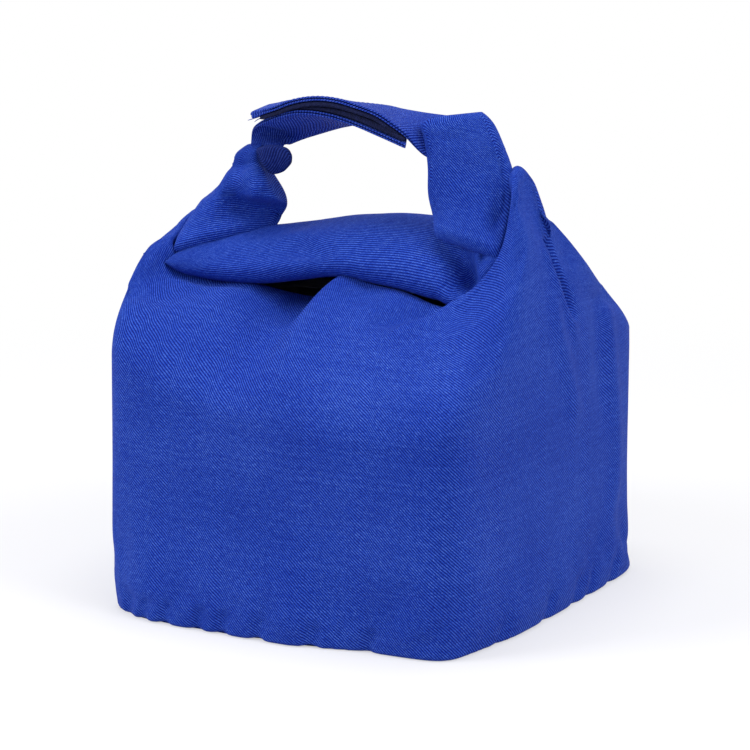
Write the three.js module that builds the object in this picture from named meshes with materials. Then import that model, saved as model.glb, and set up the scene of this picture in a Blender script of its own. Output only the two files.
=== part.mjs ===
// Insulated roll-top lunch bag. The mouth is rolled shut, and its two ends are
// turned up and lapped with hook-and-loop tape to make the carrying handle.
// Millimetres, +Z up. The origin is the middle of the base, on the surface the
// bag stands on. The front faces -Y, and the roll runs along X.

import * as THREE from "three";

// Bag body, outside the canvas
const BAG_WIDTH = 209; // across the front, between its corners
const BAG_DEPTH = 217; // front to back, between its corners
const WALL_BOW = 3; // how far a filled wall stands out past the line between its corners
const CORNER_RADIUS = 13;
const SHOULDER_HEIGHT = 139; // where the walls turn in towards the mouth, at the left side seam
const MOUTH_RISE = 35; // from the shoulder to the crown edge under the roll
const MOUTH_HALF_WIDTH = 17; // crown edge to the middle of the slit
const PEAK_RUN = 24; // length along X over which the crown edge climbs to the right peak
const PEAK_SPREAD = 2.9; // how late it climbs; lower makes a broader peak

// How the walls sag into the slit and gather to a peak at each side seam. A drop lowers the shoulder,
// a pull says how firmly the cloth leaves the shoulder upwards, and a flare how far the crown edge
// swings out on its way from the slit to the peak.
const FRONT_MIDDLE = { drop: 27, pull: 79 };
const BACK_MIDDLE = { drop: 17.5, pull: 82 };
const RIGHT_SIDE = {
  frontCorner: { drop: 22.5, pull: 78, flare: 14 },
  backCorner: { drop: 4, pull: 83, flare: 20 },
  seam: { drop: 1.5, pull: 71 },
  peakInset: 17.5, // top end of the side seam, in from the wall
  peakRise: 64, // from the crown edge at the slit to that end
};
const LEFT_SIDE = {
  frontCorner: { drop: 5, pull: 111, flare: 28 },
  backCorner: { drop: 7, pull: 66, flare: 21 },
  seam: { drop: 0, pull: 104 },
  peakInset: 2.5,
  peakRise: 31,
};

// Cloth layers, from the outside in
const CANVAS = 1.2;
const FOAM = 2.4;
const LINING = 0.5;
const GAP = 0.3; // between pieces that touch
const LAYER_GAP = 0.4; // between the layers of a wall, which turn tight folds
const BINDING_WIDTH = 16;
const BINDING_THICKNESS = 0.8;
const BINDING_MARGIN = 8; // short of the base and of the shoulder

// Rolled mouth: the back and front walls rolled forward together, round their hems
const ROLL_TURNS = 1.25;
const ROLL_WALL = 2.8; // one folded wall, pressed flat
const ROLL_FLATTEN = 9; // how much wider than high the roll is pressed, from its middle
const ROLL_SETBACK = -9; // middle of the roll, from the middle of the bag; minus is forward
const ROLL_END_GAP = 1; // right end, short of where the crown edge climbs
const ROLL_BEAK = 22; // left end, past there, towards the left peak
const ROLL_SEAT = 0.7; // turns from the back to where it rests, roughly
const HEM_WIDTH = 16;
const HEM_THICKNESS = 10;
const HEM_CLEARANCE = 0.7;

// Ears: the ends of the mouth, turned up
const EAR_WALL = 3; // canvas and foam round an ear
const EAR_SETBACK = -5;
const EAR_ROUNDNESS = 0.7; // 1 is an ellipse, and lower is squarer
const EAR_CLEARANCE = 3.4; // to the lining at the side seam
const RIGHT_EAR_HEIGHT = 52;
const LEFT_EAR_HEIGHT = 33;
// Width, thickness and how far the outer edge is in from the lining: at the foot, as the ear bellies
// out or narrows between, and at the top
const RIGHT_EAR_WIDTH = { foot: 42, belly: 52, top: 38 };
const RIGHT_EAR_THICKNESS = { foot: 17, belly: 20, top: 12 };
const RIGHT_EAR_INSET = { foot: 1.5, belly: 0, top: 7 };
const LEFT_EAR_WIDTH = { foot: 48, belly: 24, top: 16 };
const LEFT_EAR_THICKNESS = { foot: 26, belly: 24, top: 13 };
const LEFT_EAR_INSET = { foot: 0, belly: 10, top: 15 };
const TAB_REACH = 12;
const TAB_THICKNESS = 6;

// Straps and tapes
const STRAP_WIDTH = 40;
const STRAP_PLY = 1.3;
const STRAP_INSET = 9; // from the outer edge of the ear that carries it
const HOOK_TAPE = 1.4;
const LOOP_TAPE = 1.6;
const TAPE_MARGIN = 2; // to the edge of the strap
const TAPE_INSET = 2; // to where the strap bends out of the lap
const LAP_RISE = 2; // middle of the lap, above the right ear
const LAP_ARCH = 8.3; // fall from the middle of the lap to its ends
const LAP_START = 6; // upper strap's free end, past the middle of the left ear's top
const LAP_STOP = 14.5; // lower strap's free end, short of the right ear
const LAP_LEAVE = 10; // length over which a strap bends out of the lap

// Grid of a bag wall
const GUSSET_CELLS = 7;
const CORNER_CELLS = 3;
const FRONT_CELLS = 8;
const WALL_CELLS = 3;
const CROWN_CELLS = 7;
const EAR_CELLS = 4;

const halfWidth = BAG_WIDTH / 2;
const halfDepth = BAG_DEPTH / 2;
const foamDepth = CANVAS + LAYER_GAP;
const liningDepth = foamDepth + FOAM + LAYER_GAP;
const wallDepth = liningDepth + LINING;
const mouthHeight = SHOULDER_HEIGHT + MOUTH_RISE;
const peakReach = ({ peakInset }) => halfWidth + WALL_BOW - peakInset;
const mouthHalfLength = peakReach(RIGHT_SIDE) - PEAK_RUN;

const canvasBlue = { color: 0x2340a6, roughness: 0.85, metalness: 0 };
const strapBlue = { color: 0x223d9c, roughness: 0.85, metalness: 0 };
const foamWhite = { color: 0xe9e9e4, roughness: 0.9, metalness: 0 };
const foilSilver = { color: 0xb9bcc2, roughness: 0.35, metalness: 0.4 };
const tapeNavy = { color: 0x141a38, roughness: 0.95, metalness: 0 };

const bag = new THREE.Group();

function addPiece(name, geometry, finish) {
  const mesh = new THREE.Mesh(geometry, new THREE.MeshStandardMaterial(finish));
  mesh.name = name;
  bag.add(mesh);
  return mesh;
}

// Closed surfaces from grids of points

function geometryOf(points, triangles) {
  let sixVolumes = 0;
  for (const [a, b, c] of triangles)
    sixVolumes += points[a].dot(new THREE.Vector3().crossVectors(points[b], points[c]));
  const outward = sixVolumes > 0 ? triangles : triangles.map(([a, b, c]) => [a, c, b]);
  return new THREE.BufferGeometry().setFromPoints(points).setIndex(outward.flat());
}

// A sheet between two grids of the same size, with its four edges closed.
function sheetBetween(outer, inner) {
  const columns = outer.length;
  const rows = outer[0].length;
  const points = [...outer.flat(), ...inner.flat()];
  const under = columns * rows;
  const at = (column, row) => column * rows + row;
  const triangles = [];
  const quad = (a, b, c, d) => triangles.push([a, b, c], [a, c, d]);
  for (let i = 0; i < columns - 1; i++)
    for (let j = 0; j < rows - 1; j++) {
      const [a, b, c, d] = [at(i, j), at(i + 1, j), at(i + 1, j + 1), at(i, j + 1)];
      quad(a, b, c, d);
      quad(under + c, under + b, under + a, under + d);
    }
  const edge = (a, b) => quad(b, a, under + a, under + b);
  for (let i = 0; i < columns - 1; i++) {
    edge(at(i, 0), at(i + 1, 0));
    edge(at(i + 1, rows - 1), at(i, rows - 1));
  }
  for (let j = 0; j < rows - 1; j++) {
    edge(at(0, j + 1), at(0, j));
    edge(at(columns - 1, j), at(columns - 1, j + 1));
  }
  return geometryOf(points, triangles);
}

// A solid through closed rings of points, with a fan over each end.
function loftThrough(rings) {
  const count = rings[0].length;
  const points = rings.flat();
  const triangles = [];
  for (let i = 0; i < rings.length - 1; i++)
    for (let j = 0; j < count; j++) {
      const next = (j + 1) % count;
      const [a, b] = [i * count + j, i * count + next];
      triangles.push([a, b, b + count], [a, b + count, a + count]);
    }
  for (const [ring, first] of [[rings[0], 0], [rings.at(-1), (rings.length - 1) * count]]) {
    const middle = ring.reduce((sum, p) => sum.add(p), new THREE.Vector3()).divideScalar(count);
    points.push(middle);
    for (let j = 0; j < count; j++) {
      const [a, b] = [first + j, first + ((j + 1) % count)];
      triangles.push(first ? [a, b, points.length - 1] : [b, a, points.length - 1]);
    }
  }
  return geometryOf(points, triangles);
}

// A tube, open at both ends, between outer and inner rings.
function tubeBetween(outer, inner) {
  const count = outer[0].length;
  const points = [...outer.flat(), ...inner.flat()];
  const under = outer.length * count;
  const triangles = [];
  const quad = (a, b, c, d) => triangles.push([a, b, c], [a, c, d]);
  const last = (outer.length - 1) * count;
  for (let j = 0; j < count; j++) {
    const next = (j + 1) % count;
    for (let i = 0; i < outer.length - 1; i++) {
      const [a, b] = [i * count + j, i * count + next];
      quad(a, b, b + count, a + count);
      quad(under + b + count, under + b, under + a, under + a + count);
    }
    quad(next, j, under + j, under + next);
    quad(last + j, last + next, under + last + next, under + last + j);
  }
  return geometryOf(points, triangles);
}

// Bag walls

// Front half of the wall's outline seen from above, from the left side seam (share -1) to the right (+1).
const gussetRun = halfDepth - CORNER_RADIUS;
const cornerRun = (Math.PI * CORNER_RADIUS) / 2;
const frontRun = halfWidth - CORNER_RADIUS;
const halfRun = gussetRun + cornerRun + frontRun;
const levelShare = mouthHalfLength / halfRun;
const cornerShare = (frontRun + cornerRun / 2) / halfRun;
const sideAt = (share) => (share < 0 ? LEFT_SIDE : RIGHT_SIDE);

function wallOutline(share) {
  const side = Math.sign(share) || 1;
  const run = Math.abs(share) * halfRun;
  const turn = THREE.MathUtils.clamp((run - frontRun) / CORNER_RADIUS, 0, Math.PI / 2);
  const alongFront = Math.min(run, frontRun);
  const alongGusset = Math.max(run - frontRun - cornerRun, 0);
  const x = alongFront + CORNER_RADIUS * Math.sin(turn);
  const y = halfDepth - CORNER_RADIUS + CORNER_RADIUS * Math.cos(turn) - alongGusset;
  const bowX = 1 + (WALL_BOW / halfWidth) * (1 - (y / halfDepth) ** 2);
  const bowY = 1 + (WALL_BOW / halfDepth) * (1 - (x / halfWidth) ** 2);
  return new THREE.Vector2(side * x * bowX, -y * bowY);
}

// Crown edge: level along the slit, swinging out and rising to a peak at each side seam.
function crownEdge(share, { flare }) {
  const side = Math.sign(share) || 1;
  const level = Math.min(Math.abs(share) / levelShare, 1);
  const rise = THREE.MathUtils.clamp((Math.abs(share) - levelShare) / (1 - levelShare), 0, 1);
  const turn = (rise * Math.PI) / 2;
  const peak = sideAt(share);
  const run = peakReach(peak) - mouthHalfLength;
  return new THREE.Vector3(
    side * (level * mouthHalfLength + run * Math.sin(turn)),
    -MOUTH_HALF_WIDTH * Math.cos(turn) - flare * Math.sin(2 * turn),
    mouthHeight + peak.peakRise * Math.sin(turn) ** PEAK_SPREAD,
  );
}

// A value that goes from the middle of a wall to its corner and on to the side seam.
function aroundWall(share, middle, corner, seam) {
  const toCorner = THREE.MathUtils.smoothstep(Math.abs(share), 0, cornerShare);
  const toSeam = THREE.MathUtils.smoothstep(Math.abs(share), cornerShare, 1);
  return middle + (corner - middle) * toCorner + (seam - corner) * toSeam;
}

// A wall goes straight up to the shoulder, then curves in to the crown edge.
const SLIT_PULL = new THREE.Vector3(0, 85, 20); // how the cloth arrives at the slit
const PEAK_PULL = new THREE.Vector3(-40, 0, 25); // and at a side seam, seen on the right
const wallShare = WALL_CELLS / (WALL_CELLS + CROWN_CELLS);

function wallPoint(share, climb, foot, facing) {
  const outline = wallOutline(share);
  const { seam, frontCorner, backCorner } = sideAt(share);
  const middle = facing > 0 ? FRONT_MIDDLE : BACK_MIDDLE;
  const corner = facing > 0 ? frontCorner : backCorner;
  const shoulder = SHOULDER_HEIGHT - aroundWall(share, middle.drop, corner.drop, seam.drop);
  if (climb <= wallShare) {
    const height = foot + (shoulder - foot) * (climb / wallShare);
    return new THREE.Vector3(outline.x, outline.y, height);
  }
  const t = (climb - wallShare) / (1 - wallShare);
  const edge = crownEdge(share, corner);
  const peakShare = THREE.MathUtils.smoothstep(Math.abs(share), levelShare, 1);
  const arrive = SLIT_PULL.clone().lerp(PEAK_PULL, peakShare);
  arrive.x *= Math.sign(share);
  const leave = new THREE.Vector3(0, 0, aroundWall(share, middle.pull, corner.pull, seam.pull));
  const start = new THREE.Vector3(outline.x, outline.y, shoulder);
  return start
    .multiplyScalar(2 * t ** 3 - 3 * t ** 2 + 1)
    .addScaledVector(leave, t ** 3 - 2 * t ** 2 + t)
    .addScaledVector(edge, 3 * t ** 2 - 2 * t ** 3)
    .addScaledVector(arrive, t ** 3 - t ** 2);
}

function wallNormal(share, climb, foot, facing) {
  const step = 1e-4;
  const between = (a, b) => wallPoint(...b, foot, facing).sub(wallPoint(...a, foot, facing));
  const along = between(
    [Math.max(share - step, -1), climb],
    [Math.min(share + step, 1), climb],
  );
  const up = between(
    [share, Math.max(climb - step, 0)],
    [share, Math.min(climb + step, 1)],
  );
  return along.cross(up).normalize();
}

function wallColumns() {
  const cornerStart = frontRun / halfRun;
  const cornerEnd = (frontRun + cornerRun) / halfRun;
  const right = [];
  for (let i = 0; i < CORNER_CELLS; i++)
    right.push(cornerStart + ((cornerEnd - cornerStart) * i) / CORNER_CELLS);
  for (let i = 0; i <= GUSSET_CELLS; i++)
    right.push(cornerEnd + ((1 - cornerEnd) * i) / GUSSET_CELLS);
  const middle = [];
  for (let i = 1; i < FRONT_CELLS; i++) middle.push(cornerStart * ((2 * i) / FRONT_CELLS - 1));
  return [...right.map((share) => -share).reverse(), ...middle, ...right];
}

// One layer of the front wall, or of the back wall with facing -1.
function wallLayer(depth, thickness, foot, facing) {
  const rows = WALL_CELLS + CROWN_CELLS;
  const face = (inset) =>
    wallColumns().map((share) =>
      Array.from({ length: rows + 1 }, (_, j) => {
        const climb = j / rows;
        const point = wallPoint(share, climb, foot, facing);
        point.addScaledVector(wallNormal(share, climb, foot, facing), -inset);
        point.y -= GAP / 2;
        point.y *= facing;
        return point;
      }),
    );
  return sheetBetween(face(depth), face(depth + thickness));
}

function baseLayer(inset, thickness, low) {
  const shrinkX = 1 - inset / (halfWidth + WALL_BOW);
  const shrinkY = 1 - inset / (halfDepth + WALL_BOW);
  const front = wallColumns().map((share) => wallOutline(share));
  const back = front.slice(1, -1).reverse().map((p) => new THREE.Vector2(p.x, -p.y));
  const outline = [...front, ...back].map((p) => new THREE.Vector2(p.x * shrinkX, p.y * shrinkY));
  const sheet = new THREE.ExtrudeGeometry(new THREE.Shape(outline), {
    depth: thickness,
    bevelEnabled: false,
  });
  return sheet.translate(0, 0, low);
}

const baseFoamLow = CANVAS + GAP;
const baseLiningLow = baseFoamLow + FOAM + GAP;
const wallFoot = baseFoamLow;
const foamFoot = baseLiningLow;
const liningFoot = baseLiningLow + LINING + GAP;

for (const [side, facing] of [["front", 1], ["back", -1]]) {
  addPiece(`outer_${side}_panel`, wallLayer(0, CANVAS, wallFoot, facing), canvasBlue);
  addPiece(`foam_${side}`, wallLayer(foamDepth, FOAM, foamFoot, facing), foamWhite);
  addPiece(`lining_${side}`, wallLayer(liningDepth, LINING, liningFoot, facing), foilSilver);
}
addPiece("outer_base_panel", baseLayer(0, CANVAS, 0), canvasBlue);
addPiece("foam_base", baseLayer(foamDepth, FOAM, baseFoamLow), foamWhite);
addPiece("lining_base", baseLayer(liningDepth, LINING, baseLiningLow), foilSilver);

// Binding tape over each side seam, inside the lining.
const bindingLow = liningFoot + BINDING_MARGIN;
const bindingLength = SHOULDER_HEIGHT - BINDING_MARGIN - bindingLow;
const bindingReach = halfWidth + WALL_BOW - wallDepth - GAP - BINDING_THICKNESS / 2;
for (const [name, side] of [["left", -1], ["right", 1]]) {
  const tape = new THREE.BoxGeometry(BINDING_THICKNESS, BINDING_WIDTH, bindingLength);
  const piece = addPiece(`${name}_seam_binding`, tape, canvasBlue);
  piece.position.set(side * bindingReach, 0, bindingLow + bindingLength / 2);
}

// Rolled mouth

// Its walls wind outwards from the hems, and it rests on the front edge of the slit.
const rollPitch = 2 * (ROLL_WALL + GAP); // both walls, once round
const rollCore = HEM_THICKNESS / 2 + HEM_CLEARANCE;
const rollHalfHeight = rollCore + 2 * ROLL_WALL + GAP + rollPitch * ROLL_TURNS;
const rollRight = mouthHalfLength - ROLL_END_GAP;
const rollLeft = -mouthHalfLength - ROLL_BEAK;
const rollRadius = (turns) => rollHalfHeight - rollPitch * turns;
const seatReach = MOUTH_HALF_WIDTH + ROLL_SETBACK;
const seatSlope = Math.asin(seatReach / (rollRadius(ROLL_SEAT) + ROLL_FLATTEN));
const seatTurns = 0.75 - seatSlope / (2 * Math.PI);
const rollMiddle = mouthHeight + GAP + rollRadius(seatTurns) * Math.cos(seatSlope);
const rollTop = rollMiddle + rollRadius(0.25);
const SPIRAL_STEPS = 24; // per turn

// A wall wound from the back of the roll, over its top and down the front, then inwards.
function rolledWall(depth) {
  const steps = Math.round(ROLL_TURNS * SPIRAL_STEPS);
  const edge = (inset) =>
    Array.from({ length: steps + 1 }, (_, i) => {
      const turns = (ROLL_TURNS * i) / steps;
      const radius = rollRadius(turns) - inset;
      const angle = 2 * Math.PI * turns;
      return new THREE.Vector2((radius + ROLL_FLATTEN) * Math.cos(angle), radius * Math.sin(angle));
    });
  const section = new THREE.Shape([...edge(depth), ...edge(depth + ROLL_WALL).reverse()]);
  return alongRoll(section);
}

// Extrudes a section in (Y, Z) about the middle of the roll, along X.
function alongRoll(section) {
  const bar = new THREE.ExtrudeGeometry(section, { depth: rollRight - rollLeft, bevelEnabled: false });
  bar.translate(0, 0, rollLeft);
  const turned = new THREE.Matrix4().makeBasis(
    new THREE.Vector3(0, 1, 0),
    new THREE.Vector3(0, 0, 1),
    new THREE.Vector3(1, 0, 0),
  );
  return bar.applyMatrix4(turned).translate(0, ROLL_SETBACK, rollMiddle);
}

addPiece("rolled_back_wall", rolledWall(0), canvasBlue);
addPiece("rolled_front_wall", rolledWall(ROLL_WALL + GAP), canvasBlue);

const HEM_POINTS = 12;
const hemOutline = new THREE.Path();
hemOutline.absellipse(0, 0, HEM_WIDTH / 2, HEM_THICKNESS / 2, 0, 2 * Math.PI);
const hemSection = new THREE.Shape(hemOutline.getPoints(HEM_POINTS).slice(0, -1));
addPiece("mouth_hem_binding", alongRoll(hemSection), tapeNavy);

// Ears

const RING_POINTS = 14;

// A flattened ring round an ear at one height.
function earRing({ height, middle, width, thickness }, inset) {
  return Array.from({ length: RING_POINTS }, (_, i) => {
    const angle = (2 * Math.PI * i) / RING_POINTS;
    const squared = (value) => Math.sign(value) * Math.abs(value) ** EAR_ROUNDNESS;
    return new THREE.Vector3(
      middle + (width / 2 - inset) * squared(Math.cos(angle)),
      EAR_SETBACK + (thickness / 2 - inset) * squared(Math.sin(angle)),
      height,
    );
  });
}

// An ear stands on the roll, inside the peak at its side seam.
const earFoot = rollTop + GAP;

function earSections(side, earHeight, width, thickness, inset) {
  const reach = peakReach(sideAt(side)) - wallDepth - EAR_CLEARANCE;
  const along = ({ foot, belly, top }, share) =>
    foot * (1 - share) ** 2 + 2 * belly * share * (1 - share) + top * share ** 2;
  return Array.from({ length: EAR_CELLS + 1 }, (_, i) => {
    const share = i / EAR_CELLS;
    const earWidth = along(width, share);
    return {
      height: earFoot + earHeight * share,
      middle: side * (reach - along(inset, share) - earWidth / 2),
      width: earWidth,
      thickness: along(thickness, share),
    };
  });
}

const rightEar = earSections(1, RIGHT_EAR_HEIGHT, RIGHT_EAR_WIDTH, RIGHT_EAR_THICKNESS, RIGHT_EAR_INSET);
const leftEar = earSections(-1, LEFT_EAR_HEIGHT, LEFT_EAR_WIDTH, LEFT_EAR_THICKNESS, LEFT_EAR_INSET);
const rightEarTop = rightEar.at(-1).height;
const leftEarTop = leftEar.at(-1).height;
const innerEdge = ({ middle, width }) => middle - (Math.sign(middle) * width) / 2;
const outerEdge = ({ middle, width }) => middle + (Math.sign(middle) * width) / 2;

for (const [name, sections] of [["right", rightEar], ["left", leftEar]]) {
  const rings = (inset) => sections.map((section) => earRing(section, inset));
  addPiece(`${name}_ear_wrap`, tubeBetween(rings(0), rings(EAR_WALL)), canvasBlue);
  addPiece(`${name}_ear_core`, loftThrough(rings(EAR_WALL + GAP)), foamWhite);
}

// The corner of the mouth that curls out of the left ear, towards the right.
const tabSections = leftEar.slice(2);
const tabLow = tabSections[0].height;
const tabRound = (leftEarTop - tabLow) / 2;
const tabEdge = (section) => innerEdge(section) + GAP;
const tabTip = tabEdge(tabSections[1]) + TAB_REACH;
const tabOutline = new THREE.Shape();
const tabFoot = tabEdge(tabSections[0]);
tabOutline.absellipse(tabFoot, tabLow + tabRound, tabTip - tabFoot, tabRound, -Math.PI / 2, Math.PI / 2);
for (const section of tabSections.slice(1).reverse())
  tabOutline.lineTo(tabEdge(section), section.height);
const tab = new THREE.ExtrudeGeometry(tabOutline, {
  depth: TAB_THICKNESS,
  bevelEnabled: false,
  curveSegments: 8,
});
tab.rotateX(Math.PI / 2).translate(0, EAR_SETBACK + TAB_THICKNESS / 2, 0);
addPiece("left_corner_tab", tab, canvasBlue);

// Straps

// The upper strap lies on the right ear, and the lower strap is carried by the left ear.
const overEar = rightEarTop + GAP;
const rightEarInner = innerEdge(rightEar.at(-1));
const upperRoot = outerEdge(rightEar.at(-1)) - STRAP_INSET;
const lowerRoot = outerEdge(leftEar.at(-1)) + STRAP_INSET;
const upperEnd = leftEar.at(-1).middle + LAP_START;
const lowerEnd = rightEarInner - LAP_STOP;

// Face where hooks meet loops, seen from the front.
const lapMiddle = (upperEnd + lowerEnd) / 2;
const lapHalf = (lowerEnd - upperEnd) / 2;
const lapTop = overEar + LAP_RISE;
const lapPoint = (x) => new THREE.Vector2(x, lapTop - LAP_ARCH * ((x - lapMiddle) / lapHalf) ** 2);
const LAP_POINTS = 9;
const TURN_POINTS = 6;

function lapRun(from, to) {
  const step = (to - from) / (LAP_POINTS - 1);
  return Array.from({ length: LAP_POINTS }, (_, i) => lapPoint(from + step * i));
}

// A flat band along a line in (X, Z), between two heights above that line.
function band(line, low, high, width) {
  const normals = line.map((point, i) => {
    const ahead = line[Math.min(i + 1, line.length - 1)];
    const behind = line[Math.max(i - 1, 0)];
    const along = ahead.clone().sub(behind).normalize();
    return new THREE.Vector2(-along.y, along.x);
  });
  const face = (height) =>
    line.map((point, i) => {
      const lifted = point.clone().addScaledVector(normals[i], height);
      return [-width / 2, width / 2].map(
        (across) => new THREE.Vector3(lifted.x, EAR_SETBACK + across, lifted.y),
      );
    });
  return sheetBetween(face(high), face(low));
}

const hookLift = GAP / 2 + HOOK_TAPE + GAP;
const overEarLine = overEar - hookLift;
const ontoEar = new THREE.CubicBezierCurve(
  lapPoint(lowerEnd - LAP_LEAVE),
  lapPoint(lowerEnd),
  new THREE.Vector2(rightEarInner - LAP_LEAVE, overEarLine),
  new THREE.Vector2(rightEarInner - GAP, overEarLine),
);
const upperLine = [
  ...lapRun(upperEnd, lowerEnd - LAP_LEAVE),
  ...ontoEar.getPoints(TURN_POINTS).slice(1),
  new THREE.Vector2(upperRoot, overEarLine),
];
const upperFaceLow = hookLift + STRAP_PLY + GAP;
addPiece("upper_strap_backing", band(upperLine, hookLift, hookLift + STRAP_PLY, STRAP_WIDTH), strapBlue);
addPiece("upper_strap_face", band(upperLine, upperFaceLow, upperFaceLow + STRAP_PLY, STRAP_WIDTH), strapBlue);

const loopDrop = GAP / 2 + LOOP_TAPE + GAP;
const lowerBackingTop = loopDrop + STRAP_PLY + GAP;
const offEarLine = leftEarTop + GAP + STRAP_PLY + lowerBackingTop;
const joinLap = upperEnd + LAP_LEAVE;
const offEar = new THREE.CubicBezierCurve(
  new THREE.Vector2(lowerRoot, offEarLine),
  new THREE.Vector2(lowerRoot + LAP_LEAVE, offEarLine),
  lapPoint(joinLap - LAP_LEAVE / 2),
  lapPoint(joinLap),
);
const lowerLine = [...offEar.getPoints(TURN_POINTS).slice(0, -1), ...lapRun(joinLap, lowerEnd)];
addPiece("lower_strap_face", band(lowerLine, -loopDrop - STRAP_PLY, -loopDrop, STRAP_WIDTH), strapBlue);
addPiece(
  "lower_strap_backing",
  band(lowerLine, -lowerBackingTop - STRAP_PLY, -lowerBackingTop, STRAP_WIDTH),
  strapBlue,
);

const tapeRun = lapRun(upperEnd + LAP_LEAVE + TAPE_INSET, lowerEnd - LAP_LEAVE - TAPE_INSET);
const tapeWidth = STRAP_WIDTH - 2 * TAPE_MARGIN;
addPiece("hook_tape", band(tapeRun, GAP / 2, GAP / 2 + HOOK_TAPE, tapeWidth), tapeNavy);
addPiece("loop_tape", band(tapeRun, -GAP / 2 - LOOP_TAPE, -GAP / 2, tapeWidth), tapeNavy);

export default bag;
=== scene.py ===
import math

import bmesh
import bpy
import numpy as np
from mathutils import Matrix, Vector
from mathutils.kdtree import KDTree


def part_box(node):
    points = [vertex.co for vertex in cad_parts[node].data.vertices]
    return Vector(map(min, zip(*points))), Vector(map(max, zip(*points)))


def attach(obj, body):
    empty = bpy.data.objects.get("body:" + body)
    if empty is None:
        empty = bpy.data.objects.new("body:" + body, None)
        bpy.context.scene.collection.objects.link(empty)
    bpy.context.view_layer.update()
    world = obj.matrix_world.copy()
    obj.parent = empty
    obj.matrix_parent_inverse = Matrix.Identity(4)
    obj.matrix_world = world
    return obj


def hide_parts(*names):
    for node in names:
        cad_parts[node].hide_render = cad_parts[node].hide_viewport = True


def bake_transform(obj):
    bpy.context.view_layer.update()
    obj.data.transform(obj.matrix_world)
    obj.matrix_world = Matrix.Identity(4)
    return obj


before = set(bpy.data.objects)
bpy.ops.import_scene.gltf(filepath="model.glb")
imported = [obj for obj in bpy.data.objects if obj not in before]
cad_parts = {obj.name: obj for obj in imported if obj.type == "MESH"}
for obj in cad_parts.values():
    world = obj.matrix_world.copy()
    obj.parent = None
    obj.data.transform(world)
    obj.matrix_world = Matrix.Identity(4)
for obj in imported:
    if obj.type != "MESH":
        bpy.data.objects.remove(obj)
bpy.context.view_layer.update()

# Outer wall: one tube of woven canvas over foam, sewn to the base all round.
# Above the shoulder it leans in: the front and back run up under the roll, and each side
# rises to a peak that wraps the turned-up end of the mouth.
MM = 0.001
base_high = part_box("outer_base_panel")[1]
WALL_PUFF = 0.5
HALF_WIDTH = base_high.x / MM + WALL_PUFF
HALF_DEPTH = base_high.y / MM + WALL_PUFF
WALL_BOW = 3
CORNER_SQUARENESS = 14
BASE_EDGE = 3
WALL_COLUMNS = 384
EDGE_ROWS = 8
STRAIGHT_ROWS = 48
CROWN_ROWS = 88
FOLD_ROWS = 10
FOLD_RADIUS = 3
FOLD_TAIL = 14
SIDE_SEAM = 0.62
TINY = 1e-12

# The fold that ends the wall at the top, as a share of the way round from the front's middle.
# In front it dips into a pocket left of the middle and comes up against the roll right of that.
CROWN_FOLD = [
    (0.000, -4, -28, 178.0),
    (0.015, 4, -28, 177.0),
    (0.030, 12, -28, 175.0),
    (0.060, 30, -29, 173.5),
    (0.115, 66, -33, 169),
    (0.150, 79.5, -31, 183),
    (0.180, 89, -26, 199),
    (0.210, 91, -18, 221),
    (0.235, 89.3, -9, 235),
    (0.250, 88, 0, 238.5),
    (0.265, 89, 8, 233),
    (0.300, 91.3, 15, 215),
    (0.340, 91, 30, 203),
    (0.368, 86, 33, 194.5),
    (0.395, 74, 20, 197),
    (0.425, 56, 13.5, 195),
    (0.500, 0, 15, 192),
    (0.600, -54, 9, 186),
    (0.660, -86, 4, 188),
    (0.700, -101.5, 11, 197),
    (0.750, -104, 0, 203.5),
    (0.780, -106, -13, 200.5),
    (0.815, -106, -28, 194),
    (0.845, -103.5, -41, 186.5),
    (0.862, -98, -39, 176),
    (0.890, -83, -32, 168.5),
    (0.930, -57, -26, 167),
    (0.945, -46, -18, 163),
    (0.957, -37, -9, 159.5),
    (0.970, -28, -5, 159),
    (0.980, -20, -9, 165),
    (0.989, -12, -20, 174.5),
]
# How the wall comes up to that fold: its direction there, longer where the wall is fuller.
CROWN_LEAN = [
    (0.00, 0, 84, 14),
    (0.10, -5, 80, 8),
    (0.15, -25, 50, 30),
    (0.19, -34, 28, 42),
    (0.22, -32, 10, 48),
    (0.25, -26, 0, 52),
    (0.28, -28, -10, 47),
    (0.33, -30, -38, 36),
    (0.40, -4, -66, 34),
    (0.50, 0, -76, 34),
    (0.60, 4, -70, 34),
    (0.67, 28, -50, 36),
    (0.71, 38, -14, 40),
    (0.75, 36, 0, 42),
    (0.79, 40, 18, 30),
    (0.83, 40, 44, 14),
    (0.87, 18, 70, 4),
    (0.92, 3, 84, 2),
    (0.96, 0, 84, 10),
]
# Where the wall starts to lean in, and how strongly it keeps on upwards from there.
SHOULDER = [
    (0.00, 112, 92),
    (0.10, 112, 92),
    (0.16, 124, 80),
    (0.22, 134, 72),
    (0.30, 136, 50),
    (0.37, 134, 34),
    (0.50, 122, 82),
    (0.63, 130, 84),
    (0.75, 138, 97),
    (0.83, 138, 116),
    (0.87, 135, 112),
    (0.93, 118, 100),
]
# How far the wall stands out or in, from the base to the shoulder.
WALL_SWELL = [
    (0.00, -0.4),
    (0.12, 0.6),
    (0.26, 1),
    (0.60, 0.6),
    (1.00, 0),
]


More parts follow.
